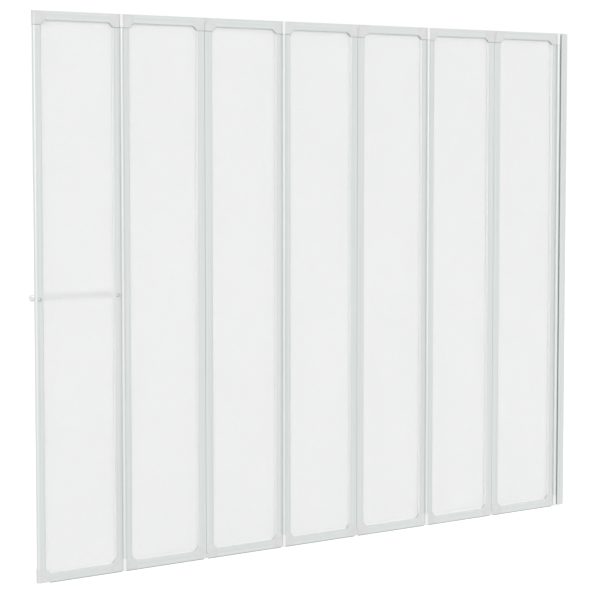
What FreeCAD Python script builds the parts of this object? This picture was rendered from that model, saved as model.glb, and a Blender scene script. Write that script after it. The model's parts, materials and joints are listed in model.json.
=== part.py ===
import FreeCAD, Part
import math
import os

from FreeCAD import Vector

# Folding shower screen: framed panes hinged in a row and hung from a wall channel.
# Millimetres. +X points to the wall, whose face is at x = 0. The front faces -Y, and +Z is up.
# The origin is on the wall, in the middle of the channel's back face.

# Overall sizes
screen_width = 1680.0  # free edge to wall
screen_height = 1400.0  # frames, without the seal under them
panel_count = 7
wall_reach = 33.0  # wall hinge's axis to the wall

# Frame members
frame_depth = 14.0  # rails and corners, front to back
stile_setback = 1.2  # stiles' faces behind those of the corners
stile_width = 23.0  # joint plane, or free edge, to the pane's opening
rail_height = 23.0
gusset_leg = 10.5  # corner's slanted edge, along rail and stile
gusset_bend_radius = 4.0  # where a corner's slanted edge runs into rail and stile
bead_lip = 1.2  # edge of a stile beside the gasket, below its slanted edge
edge_radius = 1.0  # long edges of stiles
face_radius = 0.5  # long edges of rails, and the outline of corners
free_inset = 1.0  # free stile's rounded edge, in from the corners' side
flute_width = 1.2  # fine grooves along stiles and wall channel
flute_depth = 0.4
chamber_wall = 2.0  # metal left round the hollow of a profile
spigot_length = 30.0  # corner's tongue inside a stile or rail
spigot_clearance = 0.15
corner_seam = 0.7  # open seam under a top corner, where the stile ends short of it

# Glazing
pane_thickness = 3.0
pane_insert = 6.0  # pane's edge behind the frame's inner edge
pane_clearance = 0.05
gasket_wall = 1.0
gasket_lip = 1.5  # gasket that shows inside the frame's inner edge
gasket_clearance = 0.1

# Hinges between panels
joint_gap = 0.8  # slit between neighbouring stiles
hinge_offset = 1.0  # axis outside the frame's face
knuckle_radius = 5.0
knuckle_clearance = 0.4  # cove round the neighbour's knuckle
knuckle_end_gap = 0.4
knuckle_web = 3.0  # metal that ties a knuckle to its member
relief_width = 0.6  # groove beside a knuckle
relief_depth = 0.3  # below the stiles' faces
pin_radius = 2.5
pin_clearance = 0.05
pin_reach = 40.0  # into the stile's barrel
pin_head_radius = 3.6
pin_head_height = 1.5
pin_head_clearance = 0.1
lap_reach = 5.0  # ear of a corner that laps over its neighbour
lap_height = 12.5
lap_knuckle_gap = 2.0  # ear to the neighbour's knuckle
lap_clearance = 0.5

# Bottom seal
seal_head_half = 3.0
seal_head_height = 2.0
seal_neck_half = 1.4
seal_neck_height = 1.5
seal_base_half = 4.5
seal_base_height = 0.9
seal_drop = 2.4  # lips below the frame
seal_lip_width = 1.2
seal_clearance = 0.2
seal_end_gap = 6.5  # end of a seal to the joint plane

# Wall channel and hinge post
channel_width = 22.0  # along X, off the wall
channel_proud = 2.0  # channel's sides outside the frames' faces
channel_wall = 1.6
channel_web = 2.0  # against the wall
channel_end_gap = 1.0  # channel shorter than the frames, at each end
wall_hole_count = 4
wall_hole_radius = 2.75
wall_hole_inset = 100.0  # outer wall holes, in from the frames' ends
post_gap = 6.0  # room for wall screw heads behind the post
post_foot_width = 10.0  # part of the post that slides in the channel
post_slide_clearance = 0.3
lock_screw_radius = 2.0
lock_screw_length = 7.0
lock_head_radius = 4.0
lock_head_height = 2.4
lock_head_round = 1.2
lock_slot_width = 1.1  # cross recess in the head
lock_slot_length = 4.8
lock_slot_depth = 1.3
lock_clearance = 0.05
lock_inset = 250.0  # outer locking screws, in from the frames' ends

# Towel bar behind the free panel
bar_radius = 9.0
bar_end_round = 5.0
bar_overhang = 6.5  # past the posts' axes
towel_gap = 27.0  # frame's back to the bar
post_radius = 6.5
bar_seat_clearance = 0.05
bolt_inset = 12.8  # bolt's axis to the panel's edge
bolt_radius = 2.5
bolt_bite = 6.0  # thread inside the bar
bolt_head_radius = 4.5
bolt_head_height = 3.2
bolt_head_round = 3.0
bolt_clearance = 0.2
bolt_thread_clearance = 0.05

# Working values
cut_overrun = 1.0  # how far a cut runs past what it cuts
same_place = 1e-6
flute_shares = (0.44, 0.8)  # of a stile's width, from the joint plane
channel_flute_shares = (0.3, 0.62)  # of the channel's width, from the wall

LEFT = -1
RIGHT = 1
BOTTOM = -1
TOP = 1
FRONT = -1
BACK = 1

panel_pitch = (screen_width - wall_reach) / panel_count
half_height = screen_height / 2
stile_depth = frame_depth - 2 * stile_setback
corner_width = stile_width + gusset_leg
stile_half = half_height - rail_height - gusset_leg
groove_depth = pane_insert + gasket_wall + gasket_clearance
groove_half = pane_thickness / 2 + gasket_wall + gasket_clearance
bead_slope = stile_depth / 2 - groove_half - bead_lip
gusset_bend_run = gusset_bend_radius * math.tan(math.pi / 8)
seal_slot_depth = seal_neck_height + seal_head_height + seal_clearance
stile_chamber_start = knuckle_radius + knuckle_clearance + chamber_wall
stile_chamber_end = stile_width - groove_depth - chamber_wall
stile_chamber_half = stile_depth / 2 - chamber_wall
rail_chamber_start = seal_slot_depth + chamber_wall
rail_chamber_end = rail_height - groove_depth - chamber_wall
rail_chamber_half = frame_depth / 2 - chamber_wall
lap_depth = frame_depth + hinge_offset - knuckle_radius - lap_knuckle_gap
bar_y = frame_depth / 2 + towel_gap + bar_radius
bar_z = 0.0
channel_depth = frame_depth + 2 * channel_proud
channel_half_height = half_height - channel_end_gap
post_end = -(channel_web + post_gap)
foot_start = post_end - post_foot_width
foot_half = channel_depth / 2 - channel_wall - post_slide_clearance
lock_x = post_end - post_foot_width / 2
lock_places = (lock_inset - half_height, 0.0, half_height - lock_inset)
wall_hole_pitch = 2 * (half_height - wall_hole_inset) / (wall_hole_count - 1)


def joint_x(index):
    """Joint plane at the right of a panel, counted from 0 at the free end; -1 is the free edge."""
    return -wall_reach - (panel_count - 1 - index) * panel_pitch


def hinge_face(index):
    """The wall hinge is at the front, and hinges alternate from there."""
    return FRONT if (panel_count - 1 - index) % 2 == 0 else BACK


def hinge_y(index):
    return hinge_face(index) * (frame_depth / 2 + hinge_offset)


def block(x0, x1, y0, y1, z0, z1):
    """Box between two places on each axis, in either order."""
    low = Vector(min(x0, x1), min(y0, y1), min(z0, z1))
    return Part.makeBox(abs(x1 - x0), abs(y1 - y0), abs(z1 - z0), low)


def rod_z(x, y, radius, z0, z1):
    return Part.makeCylinder(radius, abs(z1 - z0), Vector(x, y, min(z0, z1)), Vector(0, 0, 1))


def rod_y(x, z, radius, y0, y1):
    return Part.makeCylinder(radius, abs(y1 - y0), Vector(x, min(y0, y1), z), Vector(0, 1, 0))


def rod_x(y, z, radius, x0, x1):
    return Part.makeCylinder(radius, abs(x1 - x0), Vector(min(x0, x1), y, z), Vector(1, 0, 0))


def rounded_face(points, radii):
    """Flat face through the points, with each corner rounded to its radius."""
    count = len(points)
    starts, middles, ends = [], [], []
    for i in range(count):
        back = (points[i - 1] - points[i]).normalize()
        ahead = (points[(i + 1) % count] - points[i]).normalize()
        half_angle = back.getAngle(ahead) / 2
        run = radii[i] / math.tan(half_angle)
        middle = (back + ahead).normalize() * (radii[i] / math.sin(half_angle) - radii[i])
        starts.append(points[i] + back * run)
        middles.append(points[i] + middle)
        ends.append(points[i] + ahead * run)
    edges = []
    for i in range(count):
        following = starts[(i + 1) % count]
        if radii[i] > 0:
            edges.append(Part.Arc(starts[i], middles[i], ends[i]).toShape())
        if ends[i].distanceToPoint(following) > same_place:
            edges.append(Part.LineSegment(ends[i], following).toShape())
    return Part.Face(Part.Wire(edges))


def outline_edges(shape, y_face):
    """Edges that lie in the front or the back face of a flat piece."""
    found = []
    for edge in shape.Edges:
        box = edge.BoundBox
        if box.YLength < same_place and abs(abs(box.YMin) - y_face) < same_place:
            found.append(edge)
    return found


def rim_edges(shape, centre, direction):
    """Round edges of a rod's end, at a place on its axis."""
    found = []
    for edge in shape.Edges:
        if isinstance(edge.Curve, Part.Circle):
            if abs((edge.Curve.Center - centre).dot(direction)) < same_place:
                found.append(edge)
    return found


def pane_slab(panel, grow, half_thickness):
    """Slab with the outline of a panel's pane opening, grown evenly outwards."""
    x0 = joint_x(panel - 1) + stile_width - grow
    x1 = joint_x(panel) - stile_width + grow
    z = half_height - rail_height + grow
    gusset = gusset_leg - gusset_bend_run + grow * (2 - math.sqrt(2))
    y = -half_thickness
    points = [
        Vector(x0 + gusset, y, -z),
        Vector(x1 - gusset, y, -z),
        Vector(x1, y, gusset - z),
        Vector(x1, y, z - gusset),
        Vector(x1 - gusset, y, z),
        Vector(x0 + gusset, y, z),
        Vector(x0, y, z - gusset),
        Vector(x0, y, gusset - z),
    ]
    face = rounded_face(points, [gusset_bend_radius + grow] * len(points))
    return face.extrude(Vector(0, half_thickness + half_thickness, 0))


def glazing_groove(panel):
    return pane_slab(panel, groove_depth, groove_half)


def with_knuckle(shape, index, side, member_ends, knuckle_ends):
    """Adds a hinge's round knuckle to a member on one side of its joint."""
    x = joint_x(index)
    y = hinge_y(index)
    face = hinge_face(index)
    low = min(member_ends) - cut_overrun
    high = max(member_ends) + cut_overrun
    relief = block(
        x + side * knuckle_web,
        x + side * (knuckle_radius + relief_width),
        face * (frame_depth / 2 + cut_overrun),
        face * (stile_depth / 2 - relief_depth),
        low,
        high,
    )
    knuckle = rod_z(x, y, knuckle_radius, *knuckle_ends)
    bore = rod_z(x, y, pin_radius + pin_clearance, low, high)
    return shape.cut(relief).fuse(knuckle).cut(bore).removeSplitter()


def with_cove(shape, index, member_ends):
    """Cuts room for the neighbour's knuckle."""
    low = min(member_ends) - cut_overrun
    high = max(member_ends) + cut_overrun
    cove = rod_z(joint_x(index), hinge_y(index), knuckle_radius + knuckle_clearance, low, high)
    return shape.cut(cove)


def lap_ear(index, level, grow):
    """Ear on the left corner of a joint, on the face away from the hinge."""
    x = joint_x(index)
    face = -hinge_face(index)
    outer = frame_depth / 2 + (cut_overrun if grow > 0 else 0)
    top = half_height + (cut_overrun if grow > 0 else 0)
    return block(
        x - joint_gap / 2,
        x + lap_reach + grow,
        face * outer,
        face * (frame_depth / 2 - lap_depth - grow),
        level * top,
        level * (half_height - lap_height - grow),
    )


def pin_head_seat(index, level):
    outer = level * (half_height + cut_overrun)
    inner = level * (half_height - pin_head_height)
    radius = pin_head_radius + pin_head_clearance
    return rod_z(joint_x(index), hinge_y(index), radius, outer, inner)


def hinge_pin(index, level):
    """Pin through a corner's knuckle into the barrel of the stile beside it."""
    x = joint_x(index)
    y = hinge_y(index)
    outer = level * half_height
    shank = rod_z(x, y, pin_radius, outer, level * (stile_half - pin_reach))
    head = rod_z(x, y, pin_head_radius, outer, level * (half_height - pin_head_height))
    return shank.fuse(head).removeSplitter()


def hinge_pins(*indices):
    return Part.makeCompound([hinge_pin(i, level) for i in indices for level in (BOTTOM, TOP)])


def stile_edge(panel, side):
    return joint_x(panel) if side == RIGHT else joint_x(panel - 1)


def rounded_upright(x_out, x_in, half_depth, nose, z0, z1):
    """Upright bar with a rounded nose on its outer side, and slopes down to the pane on its inner one."""
    low = min(z0, z1)
    x_slope = x_in - math.copysign(bead_slope, x_in - x_out)
    lip = half_depth - bead_slope
    points = [
        Vector(x_out, -half_depth, low),
        Vector(x_slope, -half_depth, low),
        Vector(x_in, -lip, low),
        Vector(x_in, lip, low),
        Vector(x_slope, half_depth, low),
        Vector(x_out, half_depth, low),
    ]
    inner = len(points) - 2
    face = rounded_face(points, [nose] + [edge_radius] * inner + [nose])
    return face.extrude(Vector(0, 0, abs(z1 - z0)))


def stile(panel, side):
    """Upright profile: the right one of each panel carries the hinge's barrel, the left one its cove."""
    index = panel if side == RIGHT else panel - 1
    free = index < 0
    edge = stile_edge(panel, side)
    x_out = edge - side * (free_inset if free else joint_gap / 2)
    x_in = edge - side * stile_width
    y = stile_depth / 2
    nose = y if free else edge_radius
    ends = (-stile_half, stile_half - corner_seam)
    shape = rounded_upright(x_out, x_in, y, nose, *ends)
    cuts = [stile_chamber(edge, side, 0, stile_half + cut_overrun), glazing_groove(panel)]
    for share in flute_shares:
        middle = edge - side * share * stile_width
        for way in (FRONT, BACK):
            cuts.append(
                block(
                    middle - flute_width / 2,
                    middle + flute_width / 2,
                    way * (y + cut_overrun),
                    way * (y - flute_depth),
                    -stile_half - cut_overrun,
                    stile_half + cut_overrun,
                )
            )
    if panel == 0:
        cuts.append(rod_y(bolt_x(side), bar_z, bolt_radius + bolt_clearance, -frame_depth, frame_depth))
    shape = shape.cut(cuts)
    if free:
        return shape
    if side == RIGHT:
        barrel_half = stile_half - knuckle_end_gap
        return with_knuckle(shape, index, LEFT, ends, (-barrel_half, barrel_half))
    return with_cove(shape, index, ends)


def stile_chamber(edge, side, shrink, z_end):
    """Hollow of a stile, or with some shrink, what fills it."""
    return block(
        edge - side * (stile_chamber_start + shrink),
        edge - side * (stile_chamber_end - shrink),
        -stile_chamber_half + shrink,
        stile_chamber_half - shrink,
        -z_end,
        z_end,
    )


def rail_block(level, x0, x1, shrink):
    """Hollow of a rail, or with some shrink, what fills it."""
    return block(
        x0,
        x1,
        -rail_chamber_half + shrink,
        rail_chamber_half - shrink,
        level * (half_height - rail_chamber_start - shrink),
        level * (half_height - rail_chamber_end + shrink),
    )


def rail(panel, level):
    """Level profile, with slopes down to the pane."""
    x0 = joint_x(panel - 1) + corner_width
    x1 = joint_x(panel) - corner_width
    y = frame_depth / 2
    lip = y - bead_slope
    z_out = level * half_height
    z_in = level * (half_height - rail_height)
    z_slope = level * (half_height - rail_height + bead_slope)
    outline = [(-y, z_out), (y, z_out), (y, z_slope), (lip, z_in), (-lip, z_in), (-y, z_slope)]
    points = [Vector(x0, *place) for place in outline]
    shape = rounded_face(points, [face_radius] * len(points)).extrude(Vector(x1 - x0, 0, 0))
    cuts = [rail_block(level, x0 - cut_overrun, x1 + cut_overrun, 0), glazing_groove(panel)]
    if level == BOTTOM:
        cuts.append(seal_slot(x0 - cut_overrun, x1 + cut_overrun))
    return shape.cut(cuts)


def seal_slot(x0, x1):
    neck = seal_neck_half + seal_clearance
    head = seal_head_half + seal_clearance
    z_head = seal_neck_height - half_height
    mouth = block(x0, x1, -neck, neck, -half_height - cut_overrun, z_head)
    return mouth.fuse(block(x0, x1, -head, head, z_head, seal_slot_depth - half_height))


def bottom_seal(panel):
    """Strip with a head in the frame's slot and two lips below; none under the free end's corner."""
    left_gap = corner_width if panel == 0 else seal_end_gap
    x0 = joint_x(panel - 1) + left_gap
    x1 = joint_x(panel) - seal_end_gap
    lip = seal_base_half - seal_lip_width
    root = lip - seal_lip_width
    head_top = seal_neck_height + seal_head_height
    right_half = [
        (root, -seal_base_height),
        (lip, -seal_drop),
        (seal_base_half, -seal_drop),
        (seal_base_half, 0),
        (seal_neck_half, 0),
        (seal_neck_half, seal_neck_height),
        (seal_head_half, seal_neck_height),
        (seal_head_half, head_top),
    ]
    outline = right_half + [(-y, z) for y, z in reversed(right_half)]
    points = [Vector(x0, y, z - half_height) for y, z in outline]
    return rounded_face(points, [0] * len(points)).extrude(Vector(x1 - x0, 0, 0))


def corner(panel, side, level):
    """Corner connector: its gusset covers the pane's corner, and its tongues go into stile and rail."""
    index = panel if side == RIGHT else panel - 1
    free = index < 0
    edge = stile_edge(panel, side)
    x_out = edge - side * (0 if free else joint_gap / 2)
    x_in = edge - side * corner_width
    y = frame_depth / 2
    ends = (level * half_height, level * stile_half)
    shape = block(x_out, x_in, -y, y, *ends).cut(pane_slab(panel, 0, frame_depth))
    shape = shape.makeFillet(face_radius, outline_edges(shape, y))
    if free:
        shape = shape.common(rounded_upright(x_out, x_in - side * corner_width, y, y, *ends))
    shape = shape.cut(glazing_groove(panel))
    stile_end = level * (stile_half - spigot_length)
    reach = block(x_out, x_in, -y, y, ends[1], stile_end)
    stile_tongue = stile_chamber(edge, side, spigot_clearance, half_height).common(reach)
    rail_tongue = rail_block(level, x_in, x_in - side * spigot_length, spigot_clearance)
    shape = shape.fuse([stile_tongue, rail_tongue])
    if level == BOTTOM and not free:
        shape = shape.cut(seal_slot(x_out + side * cut_overrun, x_in - side * cut_overrun))
    if free:
        return shape.removeSplitter()
    if side == RIGHT:
        shape = with_cove(shape, index, ends)
        if index < panel_count - 1:
            shape = shape.fuse(lap_ear(index, level, 0))
        return shape.removeSplitter()
    shape = shape.cut(lap_ear(index, level, lap_clearance))
    knuckle_ends = (level * half_height, level * (stile_half + knuckle_end_gap))
    shape = with_knuckle(shape, index, RIGHT, ends, knuckle_ends)
    return shape.cut(pin_head_seat(index, level))


def pane(panel):
    return pane_slab(panel, pane_insert, pane_thickness / 2)


def gasket(panel):
    """U-shaped strips on the pane's edges, from corner to corner, with lips that show on both faces."""
    half = pane_thickness / 2
    outside = pane_slab(panel, pane_insert + gasket_wall, half + gasket_wall)
    window = pane_slab(panel, -gasket_lip, half + gasket_wall + cut_overrun)
    pocket = pane_slab(panel, pane_insert + pane_clearance, half + pane_clearance)
    cuts = [window, pocket]
    for side in (LEFT, RIGHT):
        edge = stile_edge(panel, side)
        for level in (BOTTOM, TOP):
            z_ends = (level * half_height, level * stile_half)
            cuts.append(block(edge, edge - side * corner_width, -frame_depth, frame_depth, *z_ends))
    return outside.cut(cuts)


def post_section(z0, z1):
    """Hinge post's profile: a tongue behind the barrel and a foot in the channel."""
    last = panel_count - 1
    x = joint_x(last) + joint_gap / 2
    y_front = hinge_y(last) + knuckle_radius + knuckle_clearance
    tongue = block(x, post_end, y_front, stile_depth / 2, z0, z1)
    foot = block(foot_start, post_end, -foot_half, foot_half, z0, z1)
    return tongue.fuse(foot)


def post_chamber(shrink, z0, z1):
    half = foot_half - chamber_wall - shrink
    x0 = foot_start + chamber_wall + shrink
    x1 = post_end - chamber_wall - shrink
    return block(x0, x1, -half, half, z0, z1)


def hinge_post():
    shape = post_section(-stile_half, stile_half)
    shape = shape.cut(post_chamber(0, -stile_half - cut_overrun, stile_half + cut_overrun))
    radius = lock_screw_radius + lock_clearance
    holes = [rod_y(lock_x, z, radius, 0, channel_depth) for z in lock_places]
    return shape.cut(holes).removeSplitter()


def hinge_block(level):
    """End of the hinge post, with the knuckle that holds the wall hinge's pin."""
    last = panel_count - 1
    x = joint_x(last)
    y = hinge_y(last)
    ends = (level * half_height, level * stile_half)
    knuckle_ends = (level * half_height, level * (stile_half + knuckle_end_gap))
    shape = post_section(*ends)
    shape = shape.fuse(block(x + joint_gap / 2, x + knuckle_web, y, stile_depth / 2, *knuckle_ends))
    tongue = post_chamber(spigot_clearance, ends[1], level * (stile_half - spigot_length))
    shape = shape.fuse([tongue, rod_z(x, y, knuckle_radius, *knuckle_ends)])
    bore = rod_z(x, y, pin_radius + pin_clearance, 0, level * (half_height + cut_overrun))
    return shape.cut([bore, pin_head_seat(last, level)]).removeSplitter()


def wall_channel():
    """U-shaped profile, open towards the screen, with holes for wall screws in its web."""
    half = channel_depth / 2
    z = channel_half_height
    shape = block(-channel_width, 0, -half, half, -z, z)
    inside = half - channel_wall
    over = z + cut_overrun
    cuts = [block(-channel_width - cut_overrun, -channel_web, -inside, inside, -over, over)]
    for hole in range(wall_hole_count):
        height = wall_hole_inset - half_height + hole * wall_hole_pitch
        cuts.append(rod_x(0, height, wall_hole_radius, -channel_width, cut_overrun))
    for place in lock_places:
        cuts.append(rod_y(lock_x, place, lock_screw_radius + bolt_clearance, 0, channel_depth))
    for share in channel_flute_shares:
        middle = -share * channel_width
        x0 = middle - flute_width / 2
        x1 = middle + flute_width / 2
        cuts.append(block(x0, x1, -half - cut_overrun, flute_depth - half, -over, over))
    return shape.cut(cuts)


def locking_screws():
    """Cross-headed screws through the channel's back wall into the post."""
    y = channel_depth / 2
    top = y + lock_head_height
    over = top + cut_overrun
    floor = top - lock_slot_depth
    half = lock_slot_width / 2
    reach = lock_slot_length / 2
    screws = []
    for z in lock_places:
        head = rod_y(lock_x, z, lock_head_radius, y, top)
        head = head.makeFillet(lock_head_round, rim_edges(head, Vector(lock_x, top, z), Vector(0, 1, 0)))
        level_slot = block(lock_x - reach, lock_x + reach, floor, over, z - half, z + half)
        upright_slot = block(lock_x - half, lock_x + half, floor, over, z - reach, z + reach)
        shank = rod_y(lock_x, z, lock_screw_radius, y - lock_screw_length, y)
        screws.append(head.cut([level_slot, upright_slot]).fuse(shank))
    return Part.makeCompound(screws)


def bolt_x(side):
    return stile_edge(0, side) - side * bolt_inset


def towel_bar():
    x0 = bolt_x(LEFT) - bar_overhang
    x1 = bolt_x(RIGHT) + bar_overhang
    shape = rod_x(bar_y, bar_z, bar_radius, x0, x1)
    ends = []
    for x in (x0, x1):
        ends += rim_edges(shape, Vector(x, bar_y, bar_z), Vector(1, 0, 0))
    shape = shape.makeFillet(bar_end_round, ends)
    radius = bolt_radius + bolt_thread_clearance
    holes = [rod_y(bolt_x(side), bar_z, radius, 0, bolt_end()) for side in (LEFT, RIGHT)]
    return shape.cut(holes)


def bolt_end():
    return bar_y - bar_radius + bolt_bite


def towel_bar_posts():
    """Round posts from the stiles' back to a saddle under the bar."""
    y = stile_depth / 2
    posts = []
    for side in (LEFT, RIGHT):
        x = bolt_x(side)
        seat = rod_x(bar_y, bar_z, bar_radius + bar_seat_clearance, x - bar_radius, x + bar_radius)
        hole = rod_y(x, bar_z, bolt_radius + bolt_clearance, 0, bar_y)
        posts.append(rod_y(x, bar_z, post_radius, y, bar_y).cut([seat, hole]).Solids[0])
    return Part.makeCompound(posts)


def towel_bar_bolts():
    """Domed bolts through stile and post into the bar."""
    y = -stile_depth / 2
    bolts = []
    for side in (LEFT, RIGHT):
        x = bolt_x(side)
        head = rod_y(x, bar_z, bolt_head_radius, y - bolt_head_height, y)
        rim = rim_edges(head, Vector(x, y - bolt_head_height, bar_z), Vector(0, 1, 0))
        head = head.makeFillet(bolt_head_round, rim)
        bolts.append(head.fuse(rod_y(x, bar_z, bolt_radius, y, bolt_end())))
    return Part.makeCompound(bolts)


def panel_pieces(panel):
    """Named pieces of one panel, without its hinge pins."""
    name = f"panel{panel + 1}"
    corners = [corner(panel, side, level) for side in (LEFT, RIGHT) for level in (BOTTOM, TOP)]
    return {
        f"{name}_left_stile": stile(panel, LEFT),
        f"{name}_right_stile": stile(panel, RIGHT),
        f"{name}_rails": Part.makeCompound([rail(panel, BOTTOM), rail(panel, TOP)]),
        f"{name}_corners": Part.makeCompound(corners),
        f"{name}_pane": pane(panel),
        f"{name}_gasket": gasket(panel),
        f"{name}_bottom_seal": bottom_seal(panel),
    }


def pieces():
    found = {}
    for panel in range(panel_count):
        found.update(panel_pieces(panel))
    # Every second panel holds the pins of both its joints.
    for panel in range(1, panel_count, 2):
        found[f"panel{panel + 1}_hinge_pins"] = hinge_pins(panel - 1, panel)
    found["wall_hinge_pins"] = hinge_pins(panel_count - 1)
    found["wall_channel"] = wall_channel()
    found["hinge_post"] = hinge_post()
    found["hinge_post_blocks"] = Part.makeCompound([hinge_block(BOTTOM), hinge_block(TOP)])
    found["locking_screws"] = locking_screws()
    found["towel_bar"] = towel_bar()
    found["towel_bar_posts"] = towel_bar_posts()
    found["towel_bar_bolts"] = towel_bar_bolts()
    return found


os.makedirs("parts", exist_ok=True)
for node, shape in pieces().items():
    shape.exportStep(f"parts/{node}.step")
    solids = shape.Solids
    good = all(solid.isValid() for solid in solids)
    print(f"{node}: {len(solids)} solids, {shape.Volume / 1000:.1f} cm3, valid {good}")
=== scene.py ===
import json
import math

import bpy
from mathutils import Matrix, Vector


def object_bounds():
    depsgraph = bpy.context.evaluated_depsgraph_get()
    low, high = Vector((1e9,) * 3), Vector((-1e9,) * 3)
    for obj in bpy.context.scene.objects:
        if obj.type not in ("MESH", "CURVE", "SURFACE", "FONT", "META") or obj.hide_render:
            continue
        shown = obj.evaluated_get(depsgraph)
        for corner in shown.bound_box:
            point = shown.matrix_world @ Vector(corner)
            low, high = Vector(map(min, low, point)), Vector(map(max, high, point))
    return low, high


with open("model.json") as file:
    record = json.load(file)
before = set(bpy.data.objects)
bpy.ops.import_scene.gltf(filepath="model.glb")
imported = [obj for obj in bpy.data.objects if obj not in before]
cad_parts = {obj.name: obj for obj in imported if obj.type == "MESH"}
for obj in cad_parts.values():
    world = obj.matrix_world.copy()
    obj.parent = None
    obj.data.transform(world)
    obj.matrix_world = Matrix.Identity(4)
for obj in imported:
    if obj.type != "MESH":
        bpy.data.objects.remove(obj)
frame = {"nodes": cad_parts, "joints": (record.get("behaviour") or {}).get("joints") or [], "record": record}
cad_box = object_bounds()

# Looks of the folding shower screen, in metres, in the frame of its parts:
# +X runs to the wall, the front faces -Y, and +Z is up.

# Camera: where it stands, its bearing to the right of straight ahead, and its tilt downwards
CAMERA_PLACE = (-3.2049, -3.7, 0.3871)
CAMERA_BEARING = math.radians(31.618)
CAMERA_TILT = math.radians(3.426)
CAMERA_LENS = 98.62
CAMERA_SENSOR = 36.0
CAMERA_SHIFT = -0.1

# Stage: the floor lies as far below the screen as a bath's rim stands above it
FLOOR_DROP = 0.55
FLOOR_REACH = 60.0
FLOOR_ALBEDO = 0.52
FLOOR_GLOW = 0.55

# Light: a soft dome, white where it is seen, a broad lamp from the front left and a weaker
# one from behind; a lamp's angles are its tip from straight down and its turn about the vertical
DOME_STRENGTH = 0.8
DOME_SEEN = 1.0
KEY_STRENGTH = 1.26
KEY_SPREAD = math.radians(40)
KEY_ANGLES = (math.radians(70), math.radians(-25))
FILL_STRENGTH = 0.6
FILL_SPREAD = math.radians(60)
FILL_ANGLES = (math.radians(50), math.radians(160))

# Just outside the hinges' round parts
HINGE_RADIUS = 0.0052

# Between these a noise has most of its values
NOISE_LOW = 0.3
NOISE_HIGH = 0.7

# Colours, linear, each with a darker and a paler shade
ALUMINIUM = ((0.665, 0.695, 0.685), (0.72, 0.75, 0.74))
PLASTIC = ((0.665, 0.67, 0.67), (0.72, 0.725, 0.725))
PANE = ((0.93, 0.932, 0.932), (0.975, 0.977, 0.977))
VINYL = ((0.94, 0.945, 0.945), (0.97, 0.975, 0.975))
RUBBER = ((0.31, 0.315, 0.315), (0.40, 0.405, 0.405))
STEEL = ((0.46, 0.46, 0.465), (0.58, 0.58, 0.585))
SATIN = ((0.78, 0.785, 0.79), (0.86, 0.865, 0.87))
CHROME = ((0.46, 0.465, 0.47), (0.54, 0.545, 0.55))

# Painted highlight on the hinge knuckles: a paler colour that stands in for the highlight on their round
# faces
KNUCKLE_HIGHLIGHT = (0.84, 0.845, 0.845)


def opaque(colour):
    """Colour as the nodes take it."""
    return (*colour, 1.0)


def even(fineness):
    """The same fineness along each axis."""
    return (fineness, fineness, fineness)


def add_node(tree, kind, **values):
    """Adds a node and sets its inputs by name, with spaces written as underscores."""
    node = tree.nodes.new(kind)
    for name, value in values.items():
        node.inputs[name.replace("_", " ")].default_value = value
    return node


def maths(tree, operation, *values):
    """Works out a number from sockets and plain numbers."""
    node = tree.nodes.new("ShaderNodeMath")
    node.operation = operation
    for socket, value in zip(node.inputs, values):
        if isinstance(value, bpy.types.NodeSocket):
            tree.links.new(value, socket)
        else:
            socket.default_value = value
    return node.outputs["Value"]


def new_material(name, **uniform):
    """Material with a principled shader and its values that are the same all over."""
    material = bpy.data.materials.new(name)
    material.use_nodes = True
    tree = material.node_tree
    shader = tree.nodes["Principled BSDF"]
    for socket, value in uniform.items():
        shader.inputs[socket.replace("_", " ")].default_value = value
    return material, tree, shader


def noise(tree, fineness, detail, breakup):
    """Noise in the part's own coordinates, with its fineness per metre along each axis."""
    coordinates = tree.nodes.new("ShaderNodeTexCoord")
    mapping = add_node(tree, "ShaderNodeMapping", Scale=fineness)
    texture = add_node(tree, "ShaderNodeTexNoise", Scale=1.0, Detail=detail, Roughness=breakup)
    tree.links.new(coordinates.outputs["Object"], mapping.inputs["Vector"])
    tree.links.new(mapping.outputs["Vector"], texture.inputs["Vector"])
    return texture.outputs["Fac"]


def blended(tree, value, shades):
    """Mixes two shades by a noise value."""
    ramp = tree.nodes.new("ShaderNodeValToRGB")
    stops = zip(ramp.color_ramp.elements, (NOISE_LOW, NOISE_HIGH), shades)
    for element, position, shade in stops:
        element.position = position
        element.color = opaque(shade)
    tree.links.new(value, ramp.inputs["Fac"])
    return ramp.outputs["Color"]


def painted(tree, factor, under, colour):
    """Lays one colour over another where a factor is one."""
    node = add_node(tree, "ShaderNodeMixRGB", Color2=opaque(colour))
    tree.links.new(factor, node.inputs["Fac"])
    tree.links.new(under, node.inputs["Color1"])
    return node.outputs["Color"]


def coloured(tree, shader, colour):
    """Gives the surface its colour."""
    tree.links.new(colour, shader.inputs["Base Color"])


def roughened(tree, shader, value, low, high):
    """Makes the surface rougher or smoother by a noise value."""
    node = add_node(tree, "ShaderNodeMapRange", To_Min=low, To_Max=high)
    node.inputs["From Min"].default_value = NOISE_LOW
    node.inputs["From Max"].default_value = NOISE_HIGH
    tree.links.new(value, node.inputs["Value"])
    tree.links.new(node.outputs["Result"], shader.inputs["Roughness"])


def bump(tree, shader, height, strength, distance):
    """Raises the surface by a noise value."""
    node = add_node(tree, "ShaderNodeBump", Strength=strength, Distance=distance)
    tree.links.new(height, node.inputs["Height"])
    tree.links.new(node.outputs["Normal"], shader.inputs["Normal"])


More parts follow.
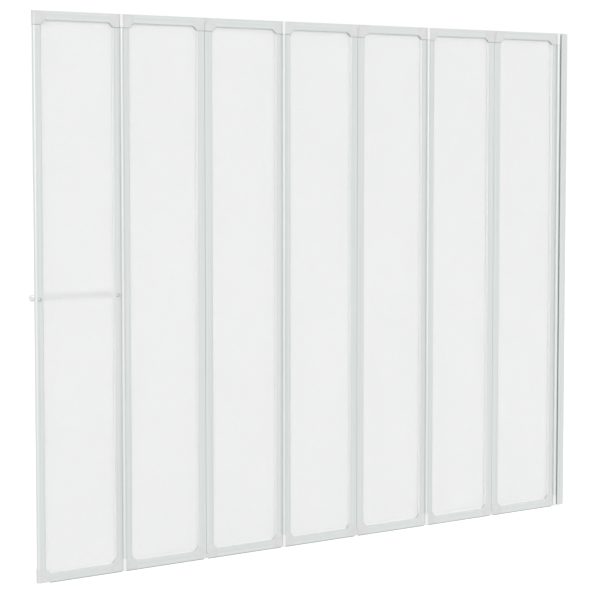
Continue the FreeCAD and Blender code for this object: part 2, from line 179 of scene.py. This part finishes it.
def knuckle_highlight_mask(tree):
    """Mask for the painted highlight: one on the round knuckles of the hinges, zero on the rest of the
    frames.
    """
    coordinates = tree.nodes.new("ShaderNodeTexCoord")
    plan = add_node(tree, "ShaderNodeMapping", Scale=(1.0, 1.0, 0.0))
    tree.links.new(coordinates.outputs["Object"], plan.inputs["Vector"])
    nearest = math.dist(*cad_box)  # farther than any hinge
    for joint in frame["joints"]:
        x, y, _ = joint["pos_m"]
        distance = tree.nodes.new("ShaderNodeVectorMath")
        distance.operation = "DISTANCE"
        distance.inputs[1].default_value = (x, y, 0.0)
        tree.links.new(plan.outputs["Vector"], distance.inputs[0])
        nearest = maths(tree, "MINIMUM", distance.outputs["Value"], nearest)
    return maths(tree, "LESS_THAN", nearest, HINGE_RADIUS)


def aluminium(name, along):
    """Satin anodised extrusion, with fine draw lines along one axis."""
    material, tree, shader = new_material(name, Metallic=0.35)
    across_bands, across_lines = list(even(260.0)), list(even(1900.0))
    across_bands[along] = 1.5
    across_lines[along] = 6.0
    bands = noise(tree, fineness=across_bands, detail=2.0, breakup=0.5)
    lines = noise(tree, fineness=across_lines, detail=3.0, breakup=0.6)
    coloured(tree, shader, blended(tree, bands, ALUMINIUM))
    roughened(tree, shader, lines, low=0.34, high=0.46)
    bump(tree, shader, lines, strength=0.12, distance=0.0002)
    return material


def corner_plastic():
    """Moulded plastic with a fine spark-eroded grain, and a paler painted highlight on the hinge knuckles.
    """
    material, tree, shader = new_material("corner_plastic")
    clouds = noise(tree, fineness=even(45.0), detail=3.0, breakup=0.55)
    grain = noise(tree, fineness=even(2600.0), detail=2.0, breakup=0.6)
    body = blended(tree, clouds, PLASTIC)
    # Painted highlight: the hinge knuckles get a paler colour in place of their highlight
    coloured(tree, shader, painted(tree, knuckle_highlight_mask(tree), body, KNUCKLE_HIGHLIGHT))
    roughened(tree, shader, grain, low=0.3, high=0.42)
    bump(tree, shader, grain, strength=0.2, distance=0.0002)
    return material


def frosted_pane():
    """Frosted sheet: light passes through it blurred, and a fine pebble texture mottles it."""
    material, tree, shader = new_material("frosted_glass", Transmission_Weight=0.46, IOR=1.45)
    speckle = noise(tree, fineness=even(330.0), detail=3.0, breakup=0.65)
    pebbles = noise(tree, fineness=even(520.0), detail=2.0, breakup=0.5)
    coloured(tree, shader, blended(tree, speckle, PANE))
    roughened(tree, shader, pebbles, low=0.3, high=0.38)
    bump(tree, shader, pebbles, strength=0.15, distance=0.0004)
    return material


def vinyl():
    """Milky glazing strip."""
    material, tree, shader = new_material("clear_vinyl")
    clouds = noise(tree, fineness=even(90.0), detail=2.0, breakup=0.5)
    grain = noise(tree, fineness=even(1400.0), detail=2.0, breakup=0.5)
    coloured(tree, shader, blended(tree, clouds, VINYL))
    roughened(tree, shader, grain, low=0.4, high=0.55)
    bump(tree, shader, grain, strength=0.1, distance=0.0002)
    return material


def rubber():
    """Matt extruded seal, with faint lines along its length and a little dust."""
    material, tree, shader = new_material("seal_rubber")
    lines = noise(tree, fineness=(5.0, 1300.0, 1300.0), detail=2.0, breakup=0.5)
    dust = noise(tree, fineness=even(160.0), detail=4.0, breakup=0.6)
    coloured(tree, shader, blended(tree, dust, RUBBER))
    roughened(tree, shader, dust, low=0.6, high=0.8)
    bump(tree, shader, lines, strength=0.15, distance=0.0002)
    return material


def steel():
    """Turned stainless pins and screws."""
    material, tree, shader = new_material("steel", Metallic=1.0)
    clouds = noise(tree, fineness=even(400.0), detail=3.0, breakup=0.6)
    lines = noise(tree, fineness=(1500.0, 1500.0, 5200.0), detail=2.0, breakup=0.5)
    coloured(tree, shader, blended(tree, clouds, STEEL))
    roughened(tree, shader, lines, low=0.22, high=0.36)
    bump(tree, shader, lines, strength=0.1, distance=0.0001)
    return material


def plating(name, metallic, shades, low, high):
    """Chrome plating with faint wipe marks, between its lowest and highest roughness."""
    material, tree, shader = new_material(name, Metallic=metallic)
    clouds = noise(tree, fineness=even(60.0), detail=3.0, breakup=0.6)
    wipes = noise(tree, fineness=(30.0, 420.0, 420.0), detail=3.0, breakup=0.6)
    coloured(tree, shader, blended(tree, clouds, shades))
    roughened(tree, shader, wipes, low, high)
    bump(tree, shader, wipes, strength=0.02, distance=0.0002)
    return material


def finish_nodes():
    """Gives every piece its material."""
    rails = aluminium("rail_aluminium", along=0)
    bolts = plating("bolt_chrome", metallic=1.0, shades=CHROME, low=0.1, high=0.18)
    by_slot = {
        "frame_aluminium": aluminium("frame_aluminium", along=2),
        "corner_plastic": corner_plastic(),
        "frosted_glass": frosted_pane(),
        "clear_vinyl": vinyl(),
        "seal_rubber": rubber(),
        "steel": steel(),
        "bar_chrome": plating("bar_chrome", metallic=0.25, shades=SATIN, low=0.16, high=0.26),
    }
    for subpart in frame["record"]["subparts"]:
        node = subpart["node"]
        material = by_slot[subpart["material_slot"]]
        if node.endswith("_rails"):
            material = rails
        if node == "towel_bar_bolts":
            material = bolts
        mesh = frame["nodes"][node].data
        mesh.materials.clear()
        mesh.materials.append(material)


def seen_directly(tree):
    """One for rays that show the stage itself: to the eye, in a mirror or through glass."""
    rays = tree.nodes.new("ShaderNodeLightPath").outputs
    eye_or_mirror = maths(tree, "MAXIMUM", rays["Is Camera Ray"], rays["Is Glossy Ray"])
    return maths(tree, "MAXIMUM", eye_or_mirror, rays["Is Transmission Ray"])


def make_floor():
    """Pale floor that shows the screen's shadow and is otherwise white to the eye."""
    height = cad_box[0].z - FLOOR_DROP
    sides = [(-1, -1), (1, -1), (1, 1), (-1, 1)]
    points = [(x * FLOOR_REACH, y * FLOOR_REACH, height) for x, y in sides]
    mesh = bpy.data.meshes.new("floor")
    mesh.from_pydata(points, [], [tuple(range(len(points)))])
    floor = bpy.data.objects.new("floor", mesh)
    bpy.context.scene.collection.objects.link(floor)
    material = bpy.data.materials.new("floor")
    material.use_nodes = True
    tree = material.node_tree
    tree.nodes.clear()
    diffuse = add_node(tree, "ShaderNodeBsdfDiffuse", Color=opaque([FLOOR_ALBEDO] * 3))
    glow = add_node(tree, "ShaderNodeEmission")
    total = tree.nodes.new("ShaderNodeAddShader")
    output = tree.nodes.new("ShaderNodeOutputMaterial")
    strength = maths(tree, "MULTIPLY", seen_directly(tree), FLOOR_GLOW)
    tree.links.new(strength, glow.inputs["Strength"])
    tree.links.new(diffuse.outputs["BSDF"], total.inputs[0])
    tree.links.new(glow.outputs["Emission"], total.inputs[1])
    tree.links.new(total.outputs["Shader"], output.inputs["Surface"])
    mesh.materials.append(material)


def make_world():
    """White to the eye, and a plain soft light on the screen."""
    world = bpy.data.worlds.new("world")
    bpy.context.scene.world = world
    world.use_nodes = True
    tree = world.node_tree
    background = tree.nodes["Background"]
    background.inputs["Color"].default_value = (1.0, 1.0, 1.0, 1.0)
    strength = add_node(tree, "ShaderNodeMapRange", To_Min=DOME_STRENGTH, To_Max=DOME_SEEN)
    tree.links.new(seen_directly(tree), strength.inputs["Value"])
    tree.links.new(strength.outputs["Result"], background.inputs["Strength"])


def make_lamp(name, strength, spread, angles):
    """Broad, distant lamp."""
    light = bpy.data.lights.new(name, "SUN")
    light.energy = strength
    light.angle = spread
    lamp = bpy.data.objects.new(name, light)
    tip, turn = angles
    lamp.rotation_euler = (tip, 0.0, turn)
    bpy.context.scene.collection.objects.link(lamp)


def make_camera():
    """Camera at the photograph's place."""
    data = bpy.data.cameras.new("camera")
    data.sensor_width = CAMERA_SENSOR
    data.lens = CAMERA_LENS
    data.shift_y = CAMERA_SHIFT
    camera = bpy.data.objects.new("camera", data)
    camera.location = CAMERA_PLACE
    level = math.cos(CAMERA_TILT)
    right = math.sin(CAMERA_BEARING) * level
    forward = math.cos(CAMERA_BEARING) * level
    ahead = Vector((right, forward, -math.sin(CAMERA_TILT)))
    camera.rotation_euler = ahead.to_track_quat("-Z", "Y").to_euler()
    bpy.context.scene.collection.objects.link(camera)
    bpy.context.scene.camera = camera


finish_nodes()
make_floor()
make_world()
make_lamp("key", KEY_STRENGTH, KEY_SPREAD, KEY_ANGLES)
make_lamp("fill", FILL_STRENGTH, FILL_SPREAD, FILL_ANGLES)
make_camera()
bpy.context.scene.view_settings.view_transform = "Standard"
